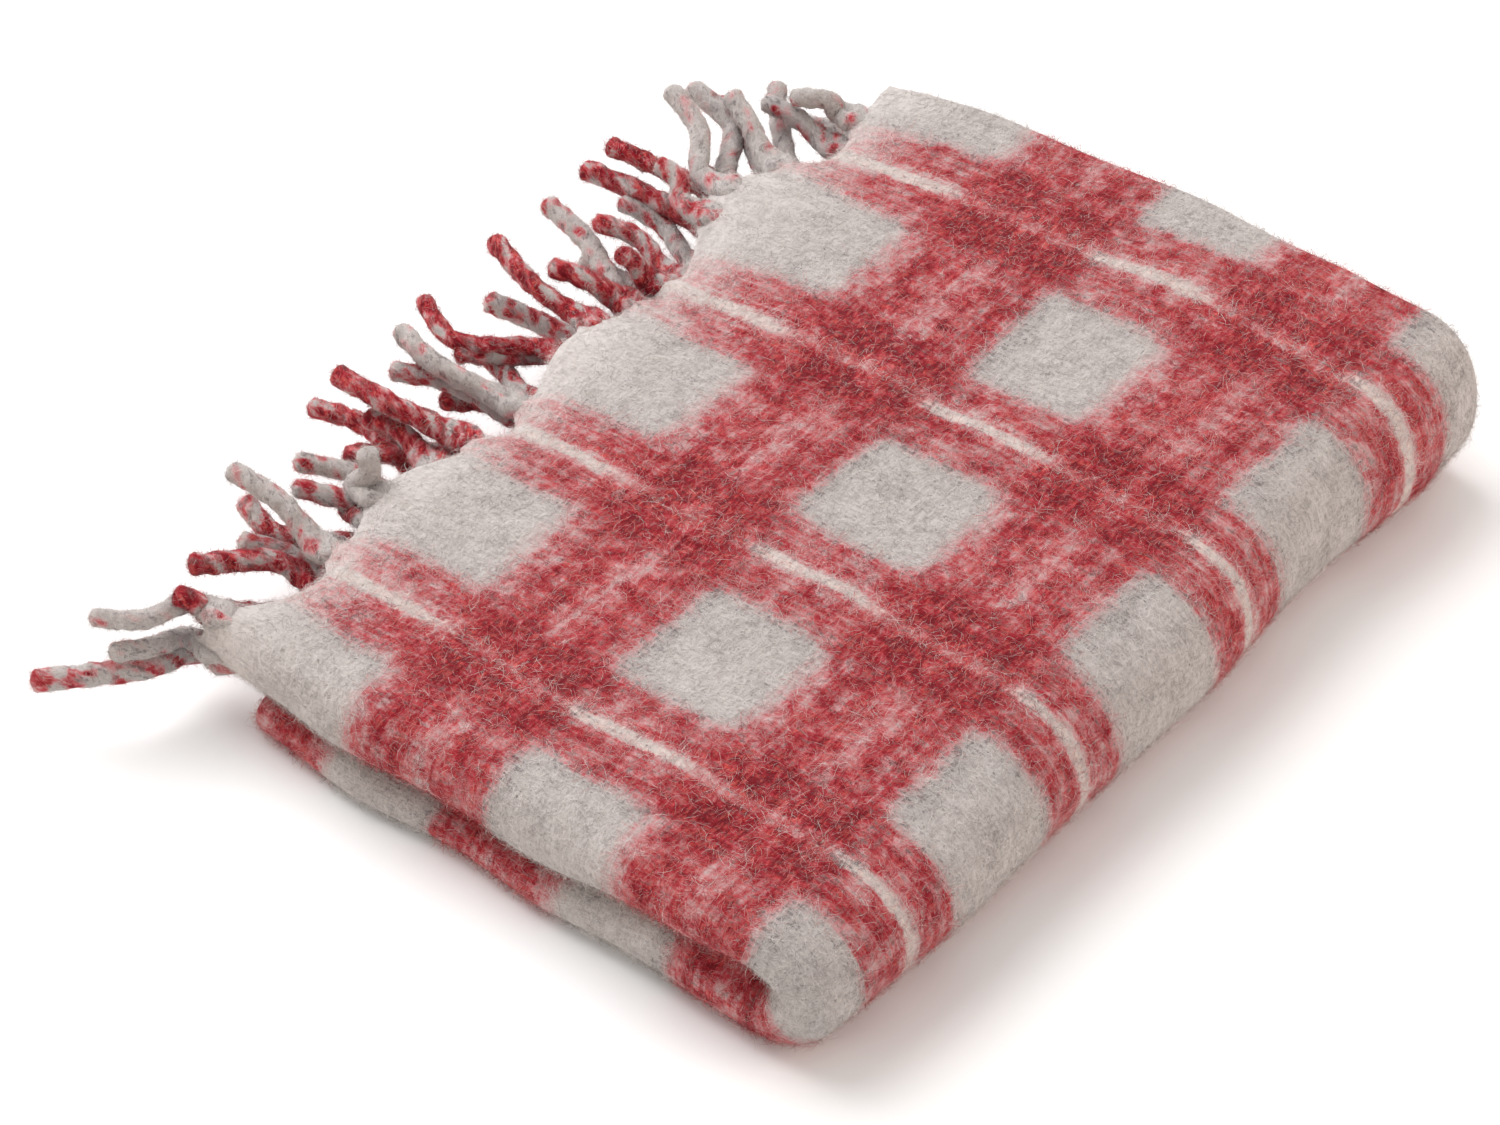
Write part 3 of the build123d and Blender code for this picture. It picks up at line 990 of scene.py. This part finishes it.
def tassel_shape(line, seed):
    """Grid of points of a two-strand twist, which strand each is on, and its place in the felted wool."""
    r = np.random.default_rng(seed)
    side, up = frames_along(line)
    run = np.concatenate([[0], np.cumsum(np.linalg.norm(np.diff(line, axis=0), axis=1))])
    angle = np.linspace(0, TURN, TASSEL_SIDES + 1)
    twist = TURN * run / TWIST_PITCH + r.uniform(0, TURN)
    strand = np.cos(angle[None] - twist[:, None])
    radius, end = twist_radius(run, angle, np.abs(strand), r)
    points = (line[:, None] + side[:, None] * (radius * np.cos(angle))[..., None]
              + up[:, None] * (radius * np.sin(angle))[..., None])
    lumps = waves(points.reshape(-1, 3), LUMP_SIZE, seed + 900, 20).reshape(radius.shape)
    points = points + unit(points - line[:, None]) * (LUMP_HEIGHT * lumps * end)[..., None]
    points[:, -1] = points[:, 0]
    turned = angle[None] - LAY_TWIST * twist[:, None]
    along = run[:, None] * LAY_ALONG + seed * 37
    lay = np.broadcast_arrays(along, LAY_ROUND * np.cos(turned), LAY_ROUND * np.sin(turned))
    return points, strand > 0, np.stack(lay, -1)


def tassel_yarn(lay, strand, red_a, red_b, seed):
    """Shares of red, cream and dark yarn over a tassel, redder in patches and at its tip."""
    rows, columns = strand.shape
    patches = waves(lay.reshape(-1, 3), PATCH_SIZE, seed).reshape(rows, columns)
    own_red = mix(np.where(strand, red_a, red_b), (red_a + red_b) / 2, FELTED_TOGETHER)
    red = TWIST_RED * own_red + PATCH_RED * patches * min(1, 3 * (red_a + red_b))
    left = np.linspace(1, 0, rows)[:, None]
    red = np.clip(red + TIP_RED * smooth(1 - left * 12) * (red_b > 0.3), 0, 1)
    return np.stack([red, 0 * red, 0.15 + 0 * red], -1)


def make_tassel(number, row, root_y, middle, tip, red_a, red_b):
    level = BEND_Z + ROW_LEVELS[row - 1] * (STACK_TOP - BEND_Z)
    roots = settle(np.array([[FRINGE_X + inside, root_y * MM, level] for inside in (ROOT_DEPTH, 1 * MM)]))
    line = curve_through(*roots, np.array(middle) * MM, np.array(tip) * MM)
    points, strand, lay = (grid[:, ::-1] for grid in tassel_shape(line, number))
    yarn = tassel_yarn(lay, strand, red_a, red_b, number + 300)
    name = f"tassel_{number:02d}"
    obj = new_object(name + "_wool", points.reshape(-1, 3), grid_faces(*strand.shape), [WOOL_TWIST],
                     normals=grid_normals(points).reshape(-1, 3))
    set_vectors(obj, "yarn", yarn.reshape(-1, 3))
    set_vectors(obj, "lay", lay.reshape(-1, 3))
    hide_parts(name)
    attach(obj, "upper_half")
    return obj, points, yarn


def make_fringe():
    r = np.random.default_rng(77)
    wool, roots, normals, tones = [], [], [], []
    for number, row in enumerate(TASSELS, 1):
        obj, points, yarn = make_tassel(number, *row)
        wool.append(obj)
        spot = scatter(points, np.ones(points.shape[:2]), FIBRES_PER_STEP * len(points), r)
        red = between(yarn, spot)[:, 0]
        zero = np.zeros(len(red))
        roots.append(between(points, spot))
        normals.append(unit(between(grid_normals(points), spot)))
        tones.append(yarn_tones(TWIST_RED * red, zero, zero + 0.1, zero, r))
    parts = (np.concatenate(part) for part in (roots, normals, tones))
    fuzz = fibre_pieces("fringe", *parts, r, length=4.5 * MM, lift=0.6)
    for piece in fuzz:
        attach(piece, "upper_half")
    return wool, fuzz


tassels, fringe_fuzz = make_fringe()
squash_upper([upper_outer, upper_inner, *upper_outer_fuzz, *upper_inner_fuzz, *tassels, *fringe_fuzz])


# ---- length of a wrap across the stack ----
def across_length(offset, part=slice(None)):
    """Length of one wrap's middle surface across the stack."""
    y = PATH[part, 0] + PATH[part, 2] * offset
    rho = PATH[part, 1] + PATH[part, 3] * offset
    return float(np.hypot(np.diff(y), np.diff(rho)).sum())


# ---- stage, light and camera ----
FLOOR = 30  # half of its side
WORLD = 0.60  # strength of the white surroundings
# The camera, as it was solved on the photograph's outline.
AZIMUTH, ELEVATION = math.radians(39.33), math.radians(43.44)
DISTANCE = 3.165
LENS, SENSOR = 125.7, 36  # in mm
TARGET = (-0.0437, -0.0502, 0.0398)


def add_light(kind, name, place, energy, colour=(1, 1, 1)):
    """A light that faces the middle of the scene."""
    light = bpy.data.lights.new(name, kind)
    light.energy = energy
    light.color = colour
    lamp = bpy.data.objects.new(name, light)
    lamp.location = place
    lamp.rotation_euler = (-Vector(place)).to_track_quat("-Z", "Y").to_euler()
    bpy.context.scene.collection.objects.link(lamp)
    return light


def floor_and_light():
    corners = [(-FLOOR, -FLOOR, 0), (FLOOR, -FLOOR, 0), (FLOOR, FLOOR, 0), (-FLOOR, FLOOR, 0)]
    floor = new_object("floor", corners, [(0, 1, 2, 3)], [plain_material("floor_white", (0.9, 0.9, 0.9))])
    world = bpy.data.worlds.new("studio")
    world.use_nodes = True
    background = world.node_tree.nodes["Background"]
    background.inputs["Color"].default_value = (1, 1, 1, 1)
    background.inputs["Strength"].default_value = WORLD
    bpy.context.scene.world = world
    add_light("SUN", "sky_light", (-1.0, 0.1, 1.3), 1.85).angle = math.radians(50)
    add_light("AREA", "softbox", (-1.3, 0.1, 1.4), 18).size = 1.6
    add_light("AREA", "warm_fill", (2.0, 1.0, 0.9), 25, (1.0, 0.83, 0.70)).size = 1.6
    add_light("AREA", "front_fill", (-0.8, -2.0, 0.25), 11, (1.0, 0.80, 0.60)).size = 1.2
    bpy.context.scene.view_settings.view_transform = "Standard"


def camera():
    flat = math.cos(ELEVATION)
    away = Vector((math.sin(AZIMUTH) * flat, -math.cos(AZIMUTH) * flat, math.sin(ELEVATION)))
    data = bpy.data.cameras.new("camera")
    data.lens = LENS
    data.sensor_width = SENSOR
    obj = bpy.data.objects.new("camera", data)
    obj.location = Vector(TARGET) + away * DISTANCE
    obj.rotation_euler = (-away).to_track_quat("-Z", "Y").to_euler()
    bpy.context.scene.collection.objects.link(obj)
    bpy.context.scene.camera = obj


floor_and_light()
camera()
